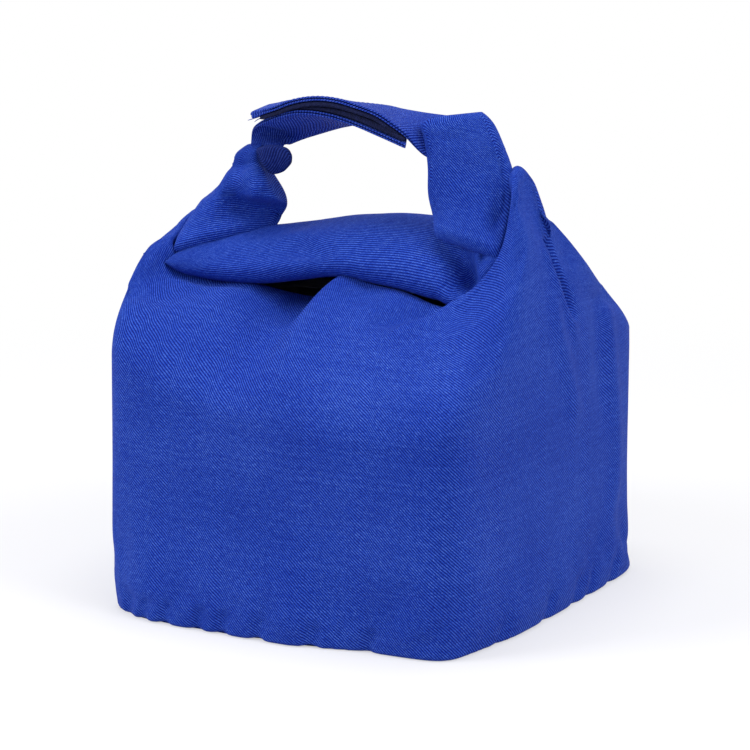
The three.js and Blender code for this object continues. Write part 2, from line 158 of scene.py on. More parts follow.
def smooth_line(stops, closed=False):
    """The smooth line through stops of a share and its values; a closed line meets its start at share 1."""
    shares = [stop[0] for stop in stops]
    values = [stop[1:] for stop in stops]
    if closed:
        shares = [shares[-2] - 1, shares[-1] - 1, *shares, shares[0] + 1, shares[1] + 1]
        values = [values[-2], values[-1], *values, values[0], values[1]]
    shares = np.array(shares, float)
    values = np.array(values, float)
    slopes = np.gradient(values, shares, axis=0)

    def at(share):
        share = np.asarray(share, float)
        stop = np.clip(np.searchsorted(shares, share, side="right") - 1, 0, len(shares) - 2)
        span = (shares[stop + 1] - shares[stop])[..., None]
        t = (share - shares[stop])[..., None] / span
        start = values[stop] * (1 + 2 * t) + slopes[stop] * span * t
        end = values[stop + 1] * (3 - 2 * t) + slopes[stop + 1] * span * (t - 1)
        return start * (1 - t) ** 2 + end * t ** 2

    return at


def wall_outline(share):
    """Where the wall stands on the ground plan: a bowed rectangle with round corners."""
    side, along = np.divmod(share * 4 + 0.5, 1)
    across = 2 * along - 1
    one = np.ones_like(across)
    turn = side.astype(int) % 4
    x = np.choose(turn, [across, one, -across, -one])
    y = np.choose(turn, [-one, across, one, -across])
    rounding = (np.abs(x) ** CORNER_SQUARENESS + np.abs(y) ** CORNER_SQUARENESS) ** (-1 / CORNER_SQUARENESS)
    bow = WALL_BOW * across ** 2
    front_or_back = turn % 2 == 0
    half_width = np.where(front_or_back, HALF_WIDTH - WALL_BOW, HALF_WIDTH - bow)
    half_depth = np.where(front_or_back, HALF_DEPTH - bow, HALF_DEPTH - WALL_BOW)
    return np.stack([x * rounding * half_width, y * rounding * half_depth, 0 * x], axis=-1)


def unit(vectors):
    return vectors / np.linalg.norm(vectors, axis=-1, keepdims=True)


def ring_slope(ring):
    """The direction along a closed ring of places whose last one repeats the first."""
    loop = ring[:-1]
    slope = np.roll(loop, -1, axis=0) - np.roll(loop, 1, axis=0)
    return np.concatenate([slope, slope[:1]])


def cloth_normals(places):
    """The outward directions of a grid of places that goes round a piece and up it."""
    return unit(np.cross(ring_slope(places), np.gradient(places, axis=1)) + TINY)


def wall_places():
    """The wall's places as columns round the bag, each from under the base edge up into the fold."""
    share = (SIDE_SEAM + np.linspace(0, 1, WALL_COLUMNS + 1)) % 1
    outline = wall_outline(share)
    up = np.array([0, 0, 1.0])
    outward = unit(np.cross(ring_slope(outline), up))
    rows = []
    for angle in np.linspace(0, math.pi / 2, EDGE_ROWS, endpoint=False):
        inset = BASE_EDGE * (1 - math.sin(angle)) - WALL_SWELL[0][1]
        rows.append(outline - outward * inset + up * BASE_EDGE * (1 - math.cos(angle)))
    swell = smooth_line(WALL_SWELL)
    shoulder = smooth_line(SHOULDER, closed=True)(share)
    height = shoulder[:, 0:1] * up
    for climb in np.linspace(0, 1, STRAIGHT_ROWS, endpoint=False):
        rows.append(outline + outward * swell(climb) + up * BASE_EDGE * (1 - climb) + height * climb)
    start = outline + height
    fold = smooth_line(CROWN_FOLD, closed=True)(share)
    lean = smooth_line(CROWN_LEAN, closed=True)(share)
    rise = shoulder[:, 1:2] * up
    for t in np.linspace(0, 1, CROWN_ROWS):
        straight = start * (1 - t) ** 2 * (1 + 2 * t) + fold * t ** 2 * (3 - 2 * t)
        rows.append(straight + rise * t * (1 - t) ** 2 - lean * t ** 2 * (1 - t))
    onward = unit(lean)
    outside = unit(np.cross(unit(ring_slope(fold)), onward))
    for turn in np.linspace(0, math.pi, FOLD_ROWS)[1:]:
        curl = onward * math.sin(turn) - outside * (1 - math.cos(turn))
        rows.append(fold + curl * FOLD_RADIUS)
    rows.append(rows[-1] - onward * FOLD_TAIL)
    return np.stack(rows, axis=1)


RIGHT, LEFT, BACK = (1, 0, 0), (-1, 0, 0), (0, 1, 0)
UP, DOWN = (0, 0, 1), (0, 0, -1)
ROUTE_STEPS = 60
FADE_REACH = 2.6
END_FADE = 1 / 4


def press(places, line, depth, ahead, behind=None, side=RIGHT, toward=None):
    """The same places with a fold sunk along a line, or with a ridge where depth is below zero.

    The fold fades over the width ahead of the line, on the given side, and the width behind it.
    It sinks along the cloth's own normals, or toward one direction, and runs out at the line's ends.
    """
    behind = ahead if behind is None else behind
    stops = [(share, *place) for share, place in zip(np.linspace(0, 1, len(line)), line)]
    share = np.linspace(0, 1, ROUTE_STEPS)
    route = smooth_line(stops)(share)
    reach = FADE_REACH * max(ahead, behind)
    near = np.all((places > route.min(axis=0) - reach) & (places < route.max(axis=0) + reach), axis=-1)
    spots = places[near]
    gaps = np.linalg.norm(spots[:, None] - route[None], axis=2)
    nearest = gaps.argmin(axis=1)
    gap = gaps.min(axis=1)
    is_ahead = (spots - route[nearest]) @ np.array(side, float) > 0
    width = np.where(is_ahead, ahead, behind)
    ends = np.clip(np.minimum(share, 1 - share) / END_FADE, 0, 1)[nearest]
    amount = depth * ends * ends * (3 - 2 * ends) * np.exp(-(gap / width) ** 2)
    sink = -cloth_normals(places)[near] if toward is None else unit(np.array(toward, float))
    pressed = places.copy()
    pressed[near] += sink * amount[:, None]
    return pressed


def press_all(places, folds):
    """The same places with these folds pressed in, one after the other."""
    for fold in folds:
        places = press(places, **fold)
    return places


def set_down(name, data):
    """A new object in the scene with this mesh, lamp or lens."""
    thing = bpy.data.objects.new(name, data)
    bpy.context.collection.objects.link(thing)
    return thing


def piece_from(bm, name):
    """A new piece with the faces that have been built up."""
    mesh = bpy.data.meshes.new(name)
    bm.to_mesh(mesh)
    bm.free()
    return set_down(name, mesh)


HALF_GRID = 0.5
WELD = 0.02


def sheet_of(name, places, bias=0.0, flat=False):
    """A mesh of quads through a grid of places in millimetres.

    Its map for the weave holds real lengths, turned by the bias, or the ground plan of a flat sheet.
    """
    columns, rows = places.shape[0] - 1, places.shape[1] - 1
    across = np.linalg.norm(np.diff(places, axis=0), axis=2)
    up = np.linalg.norm(np.diff(places, axis=1), axis=2)
    girth = np.concatenate([[0], np.cumsum(np.median(across, axis=1))])
    length = np.concatenate([np.zeros((columns + 1, 1)), np.cumsum(up, axis=1)], axis=1)
    cloth = np.stack([np.broadcast_to(girth[:, None], length.shape), length], axis=2)
    if flat:
        cloth = places[..., :2]
    turned = np.array([[math.cos(bias), -math.sin(bias)], [math.sin(bias), math.cos(bias)]])
    cloth = cloth @ turned.T * MM
    bm = bmesh.new()
    bmesh.ops.create_grid(bm, x_segments=columns, y_segments=rows, size=HALF_GRID)
    weave_map = bm.loops.layers.uv.new("weave")
    spot = {}
    for vert in bm.verts:
        spot[vert] = (round((vert.co.x + HALF_GRID) * columns), round((vert.co.y + HALF_GRID) * rows))
    for face in bm.faces:
        face.smooth = True
        for loop in face.loops:
            loop[weave_map].uv = cloth[spot[loop.vert]]
    for vert, grid in spot.items():
        vert.co = Vector(places[grid]) * MM
    bmesh.ops.remove_doubles(bm, verts=bm.verts, dist=WELD * MM)
    return piece_from(bm, name)


# Right side: a deep fold behind the peak, with a soft ridge in front of it and one by the back corner.
RIGHT_SIDE_FOLDS = [
    dict(line=[(99, 8, 204), (100.5, 9, 195), (102, 11, 184), (104, 16, 170), (105, 24, 152)],
         depth=13, ahead=4.5, behind=2.2, side=BACK, toward=(-1, 0.1, -0.1)),
    dict(line=[(99, 2, 204), (102, 4, 192), (104, 9, 176), (106, 18, 158), (107, 28, 136)],
         depth=-2, ahead=4, toward=LEFT),
    dict(line=[(102, 5, 186), (106, 3, 156), (108, 16, 120), (108, 28, 90)], depth=-2.2, ahead=7),
    dict(line=[(100, 70, 158), (106, 66, 140), (108, 76, 75), (107, 62, 14)], depth=-1.8, ahead=7),
    dict(line=[(100, 56, 168), (106, 52, 140), (108, 60, 80)], depth=2.2, ahead=9),
    dict(line=[(108, 78, 34), (108, 92, 16), (106, 104, 6)], depth=1.4, ahead=6),
]
# Front: the ridge that runs up to the right peak with a hollow beside it, slack by the left shoulder,
# the shadow line under the roll, and the hollow that the cloth sinks into left of the middle.
FRONT_FOLDS = [
    dict(line=[(44, -74, 152), (50, -66, 156), (58, -54, 161),
               (63, -46, 165), (70, -36, 172), (80, -30, 184)],
         depth=-4.4, ahead=9, behind=4),
    dict(line=[(28, -66, 164), (42, -56, 165), (54, -46, 167), (62, -40, 169)],
         depth=4.6, ahead=8, toward=(0, 0.5, -0.8)),
    dict(line=[(-96, -84, 160), (-80, -64, 172), (-62, -52, 172)], depth=2.4, ahead=8),
    dict(line=[(-60, -108, 100), (-30, -98, 138), (-22, -70, 160)], depth=1.4, ahead=14),
    dict(line=[(-108, -49, 179), (-97, -45, 176), (-83, -40, 172), (-62, -37, 171), (-48, -35, 173)],
         depth=3, ahead=5, toward=(0, 0.4, -0.9)),
    dict(line=[(-6, -4, 180), (-12, -24, 177), (-17, -36, 173), (-23, -45, 167), (-31, -56, 160)],
         depth=23, ahead=3.6, behind=11, toward=(-0.25, 0.8, -0.5)),
]
# Left side and back: the folds that the gathered cloth takes below the left peak and the roll.
LEFT_AND_BACK_FOLDS = [
    dict(line=[(-104, 12, 196), (-107, 24, 170), (-108, 30, 136)], depth=6, ahead=9, behind=5, side=BACK),
    dict(line=[(-106, -18, 186), (-108, -20, 150), (-108, -8, 110)], depth=2, ahead=10),
    dict(line=[(70, 52, 174), (78, 84, 150), (70, 108, 110)], depth=2.5, ahead=10),
    dict(line=[(-66, 48, 174), (-76, 84, 150), (-72, 108, 108)], depth=2.5, ahead=10),
    dict(line=[(-20, 40, 174), (-8, 76, 156), (4, 106, 118)], depth=1.6, ahead=13),
]
# Base edge: the wall sags out over the base in front and on the right, and is drawn in by small puckers
# where it is sewn to the base.
BASE_SAG = [
    dict(line=[(-102, -111, 2), (-60, -111, 2), (-5, -111, 2), (58, -111, 2)],
         depth=-9, ahead=34, toward=BACK),
    dict(line=[(109, -95, 2), (109, -20, 2), (109, 60, 2), (108, 140, 2)],
         depth=-5, ahead=28, toward=LEFT),
]
FRONT_PUCKERS = [
    (-88, -114), (-76, -118), (-62, -119), (-41, -120), (-26, -120), (-4, -119), (26, -116), (57, -112),
]
SIDE_PUCKERS = [(112, -62), (113, -14), (113, 20), (113, 38), (112, 66)]
base_puckers = []
for x, y in FRONT_PUCKERS:
    tuck = [(x - 1, y, -8), (x, y, 0), (x + 2, y, 7), (x + 5, y, 15)]
    base_puckers.append(dict(line=tuck, depth=2.6, ahead=3.2, behind=4.4, toward=(0, 1, 0.4)))
for x, y in SIDE_PUCKERS:
    tuck = [(x, y - 1, -8), (x, y, 0), (x, y + 3, 8), (x, y + 7, 17)]
    base_puckers.append(dict(line=tuck, depth=1.8, ahead=3.2, behind=5, side=BACK, toward=(-1, 0, 0.4)))
wall_folds = RIGHT_SIDE_FOLDS + FRONT_FOLDS + LEFT_AND_BACK_FOLDS + BASE_SAG + base_puckers
wall = press_all(wall_places(), wall_folds)

# The wall then settles as cloth, on a coarser copy of itself.
COARSE = 3
CLOTH_FRAMES = 20
CLOTH_LIMIT = 1.6
FIRST_FREE_ROW = EDGE_ROWS
LAST_FREE_ROW = EDGE_ROWS + STRAIGHT_ROWS + CROWN_ROWS - 1


def finer(values, count):
    """A row of values drawn out to more stops on a smooth line."""
    flat = values.reshape(len(values), -1)
    stops = [(share, *row) for share, row in zip(np.linspace(0, 1, len(flat)), flat)]
    return smooth_line(stops)(np.linspace(0, 1, count)).reshape(count, *values.shape[1:])


def settle(places):
    """The same places after the wall's cloth has settled.

    It is a little too long for its frame and is blown out from inside. It is held at the base seam and
    at the crown fold, and no place moves further than the limit.
    """
    rows = slice(FIRST_FREE_ROW, LAST_FREE_ROW + 1, COARSE)
    coarse = places[::COARSE, rows]
    trial = sheet_of("settling_wall", coarse)
    spots = KDTree(len(trial.data.vertices))
    for vert in trial.data.vertices:
        spots.insert(vert.co, vert.index)
    spots.balance()
    order = np.array([[spots.find(Vector(place) * MM)[1] for place in column] for column in coarse])
    held = trial.vertex_groups.new(name="held")
    held.add([int(k) for k in np.unique(order[:, [0, -1]])], 1.0, "REPLACE")
    cloth = trial.modifiers.new("settling", "CLOTH")
    cloth.settings.vertex_group_mass = "held"
    cloth.settings.quality = 6
    cloth.settings.tension_stiffness = 25
    cloth.settings.compression_stiffness = 25
    cloth.settings.shear_stiffness = 12
    cloth.settings.bending_stiffness = 1.5
    cloth.settings.shrink_min = -0.012
    cloth.settings.use_pressure = True
    cloth.settings.uniform_pressure_force = 0.5
    cloth.settings.effector_weights.gravity = 0
    cloth.collision_settings.use_collision = False
    cloth.point_cache.frame_start = 1
    cloth.point_cache.frame_end = CLOTH_FRAMES
    scene = bpy.context.scene
    for frame in range(1, CLOTH_FRAMES + 1):
        scene.frame_set(frame)
        bpy.context.view_layer.update()
    settled = trial.evaluated_get(bpy.context.evaluated_depsgraph_get()).data
    after = np.array([vert.co[:] for vert in settled.vertices]) / MM
    move = after[order] - coarse
    far = np.linalg.norm(move, axis=-1, keepdims=True) + TINY
    move *= CLOTH_LIMIT * np.tanh(far / CLOTH_LIMIT) / far
    bpy.data.objects.remove(trial)
    scene.frame_set(1)
    free_rows = LAST_FREE_ROW - FIRST_FREE_ROW + 1
    move = finer(finer(move, len(places)).swapaxes(0, 1), free_rows).swapaxes(0, 1)
    moved = places.copy()
    moved[:, FIRST_FREE_ROW:LAST_FREE_ROW + 1] += move
    return moved


wall = settle(wall)
canvas_wall = sheet_of("canvas_wall", wall)


class Wire:
    """A socket whose sums and products add Math nodes to its material."""

    def __init__(self, finish, socket):
        self.finish = finish
        self.socket = socket

    def math(self, operation, *others):
        values = dict(enumerate([self, *others]))
        return self.finish.add("ShaderNodeMath", {"operation": operation}, values)

    def __add__(self, other):
        return self.math("ADD", other)

    def __sub__(self, other):
        return self.math("SUBTRACT", other)

    def __rsub__(self, other):
        return self.finish.add("ShaderNodeMath", {"operation": "SUBTRACT"}, {0: other, 1: self})

    def __mul__(self, other):
        return self.math("MULTIPLY", other)

    __radd__ = __add__
    __rmul__ = __mul__


class Finish:
    """A material or surround built from nodes, each added with its settings first and its sockets after."""

    def __init__(self, holder):
        self.holder = holder
        holder.use_nodes = True
        self.tree = holder.node_tree
        self.tree.nodes.clear()

    def add(self, kind, settings=None, sockets=None, output=0):
        node = self.tree.nodes.new(kind)
        for name, value in (settings or {}).items():
            if name == "stops":
                self.set_stops(node.color_ramp, value)
            else:
                setattr(node, name, value)
        for name, value in (sockets or {}).items():
            if isinstance(value, Wire):
                self.tree.links.new(value.socket, node.inputs[name])
            else:
                node.inputs[name].default_value = value
        if not node.outputs:
            return node
        return Wire(self, node.outputs[output])

    def set_stops(self, ramp, stops):
        while len(ramp.elements) < len(stops):
            ramp.elements.new(0.5)
        for element, (position, colour) in zip(ramp.elements, stops):
            element.position = position
            element.color = (*colour, 1)

    def other_output(self, wire, output):
        return Wire(self, wire.socket.node.outputs[output])

    def shade(self, **sockets):
        """Ends a material in one Principled shader with these sockets."""
        named = {name.replace("_", " "): value for name, value in sockets.items()}
        shader = self.add("ShaderNodeBsdfPrincipled", {}, named)
        self.add("ShaderNodeOutputMaterial", {}, {"Surface": shader})
        return self.holder


RIB_YARNS = 3
WARP_WANDER = 1.5
WEFT_WANDER = 0.7


def woven_ground(finish, yarn):
    """A close weave on the piece's own map, with its floats in slanting ribs.

    Gives the weave's height, the count of weft yarns up to each place, and the map.
    """
    cloth = finish.add("ShaderNodeUVMap", {"uv_map": "weave"})
    place = finish.add("ShaderNodeSeparateXYZ", {}, {0: cloth})
    wander = finish.add("ShaderNodeTexNoise", {}, {"Vector": cloth, "Scale": 160.0, "Detail": 2.0})
    warp = place * (1 / (yarn * MM)) + wander * WARP_WANDER
    weft = finish.other_output(place, 1) * (1 / (yarn * MM)) - wander * WEFT_WANDER
    rib = (warp + weft) * (1 / RIB_YARNS)
    rib_round = ((rib.math("FRACT") - 0.5) * math.pi).math("COSINE")
    pick_round = ((weft.math("FRACT") - 0.5) * math.pi).math("COSINE")
    height = rib_round * (0.5 + pick_round * 0.5)
    return height, weft, cloth


YARN = 0.6
# The weave's tones: the darkest stop is painted shade in the gaps between yarns, the whitish top stop a
# painted highlight on the yarn crests.
CANVAS_TONES_AND_PAINTED_LIGHT = [
    (0.00, (0.001, 0.007, 0.15)),
    (0.40, (0.0055, 0.033, 0.36)),
    (0.70, (0.018, 0.078, 0.53)),
    (1.00, (0.150, 0.280, 0.74)),
]
TONE_SHIFT = 0.675


def canvas_finish(name, tones):
    """Close-woven canvas: slanting ribs of round yarns with slubs and worn patches, the crests painted
    lighter with whitish painted highlights and the gaps between yarns painted darker as painted shade.
    """
    finish = Finish(bpy.data.materials.new(name))
    height, weft, cloth = woven_ground(finish, YARN)
    weft_yarn = finish.add("ShaderNodeTexWhiteNoise", {"noise_dimensions": "1D"}, {"W": weft.math("FLOOR")})
    slub = finish.add("ShaderNodeTexNoise", {}, {"Vector": cloth, "Scale": 900.0, "Detail": 3.0})
    fleck = finish.add("ShaderNodeTexNoise", {}, {"Vector": cloth, "Scale": 330.0, "Detail": 2.0})
    patch = finish.add("ShaderNodeTexNoise", {}, {"Vector": cloth, "Scale": 24.0, "Detail": 4.0})
    # The lightness follows the weave's height, so crests are painted light and gaps painted as shade.
    light = height * 0.95 + weft_yarn * 0.07 + slub * 0.55 + fleck * 0.32 + patch * 0.22 - TONE_SHIFT
    woven = finish.add("ShaderNodeValToRGB", {"stops": tones}, {0: light})
    relief = height + slub * 0.8
    bump = finish.add("ShaderNodeBump", {}, {"Strength": 0.6, "Distance": 0.35 * MM, "Height": relief})
    return finish.shade(
        Base_Color=woven,
        Roughness=0.66 + slub * 0.2,
        Normal=bump,
        Sheen_Weight=0.03,
        Sheen_Roughness=0.4,
        Sheen_Tint=(0.4, 0.55, 1.0, 1),
        Specular_IOR_Level=0.12,
    )


canvas = canvas_finish("blue_canvas", CANVAS_TONES_AND_PAINTED_LIGHT)


def dress(piece, finish, slot, *nodes):
    """Gives a piece its finish, in place of these solids if there are any. The slot is not used."""
    piece.data.materials.append(finish)
    if nodes:
        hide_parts(*nodes)


def dress_wall(piece, finish, slot, *nodes):
    """Dresses a layer of the wall and bakes its place into its mesh."""
    dress(piece, finish, slot, *nodes)
    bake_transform(piece)


dress_wall(canvas_wall, canvas, "canvas", "outer_front_panel", "outer_back_panel")

# Padding and lining: a foam layer inside the canvas and a silver-grey coated lining inside that,
# cut to the same pattern and sewn in at the crown fold.
FOAM_DEPTH = 3.0
FOAM_FLOOR = 2.6
LINING_DEPTH = 6.0
LINING_FLOOR = 4.4
LINING_YARN = 0.4
BAG_MIDDLE = np.array([0, 0, 80.0])
CROWN_INSET = 6
CROWN_DROP = 12
LAYER_SHORT = 22
LAYER_STEP = 2
LAYER_START = 1
FLOOR_RINGS = (0.03, 0.35, 0.7, 0.97)
# They pass behind the two deep folds of the canvas.
UNDER_FOLDS = [
    dict(line=[(93, 8, 204), (92, 12, 186), (92, 18, 168), (96, 28, 150), (100, 36, 130)],
         depth=13, ahead=15, toward=LEFT),
    dict(line=[(-10, 0, 176), (-18, -20, 166), (-28, -40, 156)], depth=12, ahead=15, toward=(0, 0.6, -0.8)),
]
under_wall = press_all(wall, UNDER_FOLDS)


def inner_layer(depth, floor_height):
    """A bucket inside the wall: its floor from the middle out, then up the inside of the wall to the fold."""
    last = EDGE_ROWS + STRAIGHT_ROWS + CROWN_ROWS - LAYER_SHORT
    outside = under_wall[::LAYER_STEP, EDGE_ROWS + LAYER_START:last:LAYER_STEP]
    climb = np.linspace(0, 1, outside.shape[1])[None, :, None]
    inset = (depth + CROWN_INSET * climb ** 2) / HALF_WIDTH
    inside = BAG_MIDDLE + (outside - BAG_MIDDLE) * (1 - inset)
    inside[..., 2] -= CROWN_DROP * climb[..., 0] ** 4
    foot = inside[:, 0] * np.array([1, 1, 0])
    rings = [foot * share + np.array([0, 0, floor_height]) for share in FLOOR_RINGS]
    return np.concatenate([np.stack(rings, axis=1), inside], axis=1)


foam_padding = sheet_of("foam_padding", inner_layer(FOAM_DEPTH, FOAM_FLOOR))
bag_lining = sheet_of("bag_lining", inner_layer(LINING_DEPTH, LINING_FLOOR))


def foam_finish():
    """White open-cell foam: small pale cells with darker pits."""
    finish = Finish(bpy.data.materials.new("white_foam"))
    cloth = finish.add("ShaderNodeUVMap", {"uv_map": "weave"})
    cells = finish.add("ShaderNodeTexVoronoi", {}, {"Vector": cloth, "Scale": 900.0})
    stops = [(0.0, (0.62, 0.62, 0.58)), (0.5, (0.80, 0.80, 0.77)), (1.0, (0.86, 0.86, 0.83))]
    tone = finish.add("ShaderNodeValToRGB", {"stops": stops}, {0: cells})
    bump = finish.add("ShaderNodeBump", {}, {"Strength": 0.5, "Distance": 0.3 * MM, "Height": cells})
    return finish.shade(Base_Color=tone, Roughness=0.9 - cells * 0.1, Normal=bump)


def lining_finish():
    """Silver-grey coated cloth: a fine weave under a smooth coat that has crazed into soft creases."""
    finish = Finish(bpy.data.materials.new("silver_lining"))
    height, _, cloth = woven_ground(finish, LINING_YARN)
    creases = finish.add("ShaderNodeTexNoise", {}, {"Vector": cloth, "Scale": 70.0, "Detail": 5.0})
    stops = [(0.3, (0.42, 0.43, 0.45)), (0.7, (0.60, 0.61, 0.63))]
    tone = finish.add("ShaderNodeValToRGB", {"stops": stops}, {0: creases + height * 0.1})
    relief = creases * 4 + height * 0.3
    bump = finish.add("ShaderNodeBump", {}, {"Strength": 0.4, "Distance": 0.4 * MM, "Height": relief})
    return finish.shade(Base_Color=tone, Roughness=0.3 + creases * 0.25, Metallic=0.35, Normal=bump)


dress_wall(foam_padding, foam_finish(), "foam", "foam_front", "foam_back", "foam_base")
dress_wall(bag_lining, lining_finish(), "lining", "lining_front", "lining_back", "lining_base")

# Base panel: a piece of the same canvas cut to the wall's outline and sewn to the wall's lower edge.
# It lies flat, because the bag stands on it.
BASE_RINGS = (1.0, 0.93, 0.8, 0.6, 0.4, 0.2, 0.0)
BASE_COLUMN_STEP = 4
BASE_LIFT = 0.4
base_edge = wall[::-BASE_COLUMN_STEP, 0]
base_rings = [base_edge * [share, share, 0] + [0, 0, BASE_LIFT] for share in BASE_RINGS]
base_panel = sheet_of("base_panel", np.stack(base_rings, axis=1), flat=True)
dress(base_panel, canvas, "canvas", "outer_base_panel")
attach(base_panel, "bag")

# Seam bindings: a strip of folded canvas over each side seam, inside the lining.
# Each is sewn down along both of its edges.
BINDING_ROUND = 20
BINDING_ALONG = 24


def band_frame(edges, share):
    """The middle of a band between two edge lines, its half width, the way it faces, and its thickness."""
    stops = smooth_line(edges)(share)
    one, other, thick = stops[:, 0:3], stops[:, 3:6], stops[:, 6:7]
    middle = (one + other) / 2
    half = (other - one) / 2
    face = unit(np.cross(np.gradient(middle, share, axis=0), half))
    return middle, half, face, thick


END_RINGS = np.array([0, 0.02, 0.1, 0.25, 0.5])


def pillow(edges, around, along, squareness=2.0, end=0.04, blunt=0.75, lift=0.0, margin=0.0,
           between=(0, 1), on_top=False):
    """The places of a closed soft form between two edge lines, with rounded ends.

    Each stop of the edges holds a share, one edge's place, the other's and the thickness there.
    The form closes over the share called end, down to the share of its width called blunt.
    The lift takes the form's middle off the edge lines, or its under face where it lies on top.
    """
    first, last = between
    close_up = end * END_RINGS
    share = np.linspace(first, last, along + 1)
    share = np.unique(np.concatenate([share, first + close_up, last - close_up]))
    middle, half, face, thick = band_frame(edges, share)
    from_end = np.clip(np.minimum(share - first, last - share) / end, 0, 1)
    close = np.sqrt(np.clip(1 - (1 - from_end) ** 2, 0, 1))[:, None]
    half = (half - unit(half) * margin) * (blunt + (1 - blunt) * close)
    angle = np.linspace(0, 2 * math.pi, around + 1)[:, None, None]
    x = np.sign(np.cos(angle)) * np.abs(np.cos(angle)) ** (2 / squareness)
    y = np.sign(np.sin(angle)) * np.abs(np.sin(angle)) ** (2 / squareness)
    lift = lift + thick[None] / 2 if on_top else lift
    return middle[None] + half[None] * x + face[None] * (lift + thick[None] * close[None] / 2 * y)


for side in ("left", "right"):
    node = side + "_seam_binding"
    low, high = (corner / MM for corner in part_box(node))
    across = (low.x + high.x) / 2
    binding_edges = []
    for share in (0, 0.5, 1):
        height = low.z + (high.z - low.z) * share
        binding_edges.append((share, across, low.y, height, across, high.y, height, high.x - low.x))
    strip = pillow(binding_edges, BINDING_ROUND, BINDING_ALONG, squareness=6)
    binding = sheet_of(side + "_binding_strip", strip)
    dress(binding, canvas, "canvas", node)
    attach(binding, "bag")

# Rolled mouth: the flattened front and back walls wound forward together into one soft roll.
# It narrows to a beak at the left end, and its right end turns up behind the ear.
ROLL_ROUND = 72
ROLL_ALONG = 150
ROLL_EDGES = [
    (0.00, -103, -49, 178, -101, -40, 182, 4),
    (0.06, -94, -44, 173.5, -91, -22, 188, 14),
    (0.14, -81, -40.5, 173, -79, -4, 188, 21),
    (0.27, -56, -37, 174, -54, 12, 189.5, 24),
    (0.41, -32, -35, 178.8, -30, 17, 193, 25),
    (0.51, -11, -34, 182.8, -11, 18, 196.5, 26),
    (0.56, 0.5, -34, 182.6, 0, 18, 198, 27),
    (0.62, 10, -34, 181.3, 10, 18, 200, 27),
    (0.75, 34, -34, 178.4, 34, 18, 201, 28),
    (0.86, 54, -33.5, 174.4, 56, 16, 201, 27),
    (0.93, 68, -33, 172.5, 70, 11, 204, 26),
    (0.97, 78, -29, 184, 80, 7, 209, 21),
    (1.00, 87, -25, 193, 87, 3, 212, 12),
]
# The lip's edge is creased, and the layers under it show as a long soft step along the roll's front.
# Its right end is pinched under the ear and sinks into a hollow.
ROLL_FOLDS = [
    dict(line=[(-96, -46, 180), (-70, -38, 184), (-40, -33, 188), (-6, -31, 192), (30, -31, 188)],
         depth=1.6, ahead=5, behind=9, side=DOWN),
    dict(line=[(-9, -34, 182), (-18, -33, 188), (-30, -28, 191), (-45, -20, 192)],
         depth=2.6, ahead=7, behind=9, side=UP),
    dict(line=[(46, -20, 214), (55, -26, 205), (63, -30, 197), (68, -33, 185), (70, -34, 172)],
         depth=20, ahead=7, behind=8, toward=(0, 0.95, -0.3)),
    dict(line=[(-72, -26, 196), (-50, -12, 200), (-30, 2, 201)], depth=1.6, ahead=7),
]
ROLL_BIAS = math.radians(38)
roll = press_all(pillow(ROLL_EDGES, ROLL_ROUND, ROLL_ALONG, squareness=2.15), ROLL_FOLDS)
mouth_roll = sheet_of("mouth_roll", roll, bias=ROLL_BIAS)


def dress_handle(piece, finish, *nodes):
    """Dresses a padded canvas piece of the handle and lets it ride on the handle."""
    dress(piece, finish, "canvas", *nodes)
    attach(piece, "handle")


dress_handle(mouth_roll, canvas, "rolled_back_wall", "rolled_front_wall", "mouth_hem_binding")

# Ears: the two ends of the flattened mouth, turned up out of the roll to make the handle's posts.
# The right one is a broad padded band; the left one is gathered to a twist under its strap.
EAR_ROUND = 72
EAR_ALONG = 96
RIGHT_EAR_EDGES = [
    (0.00, 49.5, -24, 202.5, 87, -22, 193.5, 13),
    (0.22, 40, -14, 217.5, 87.5, -9, 214.5, 20),
    (0.55, 37.6, -12, 238.3, 85.8, -5, 234, 19),
    (0.80, 35.4, -11, 253.9, 79.5, -5, 250.5, 17),
    (0.92, 34, -10, 260.4, 73, -5, 262.6, 14),
    (1.00, 43, -7, 263.5, 67.5, -5, 268, 9),
]
LEFT_EAR_EDGES = [
    (0.00, -101.7, -42, 181.9, -60, -8, 193, 14),
    (0.20, -104, -29, 189.2, -56.5, -4, 202, 22),
    (0.46, -98.5, -12, 204.9, -53.2, -7, 210.5, 30),
    (0.72, -86, -8, 222.6, -61, -7, 222.5, 23),
    (0.87, -82.4, -7, 232.2, -66, -7, 231.5, 15),
    (1.00, -75, -8, 238.8, -64, -8, 240, 9),
]
RIGHT_EAR_FOLDS = [
    dict(line=[(44, -22, 256), (42, -22, 240), (44, -23, 222), (51, -23, 206)], depth=3, ahead=4, behind=9),
    dict(line=[(76, -16, 258), (82, -16, 240), (84, -18, 220), (80, -21, 200)],
         depth=4.5, ahead=5, behind=8, side=LEFT),
    dict(line=[(54, -19, 262), (60, -20, 246), (64, -20, 228)], depth=1.4, ahead=8),
]
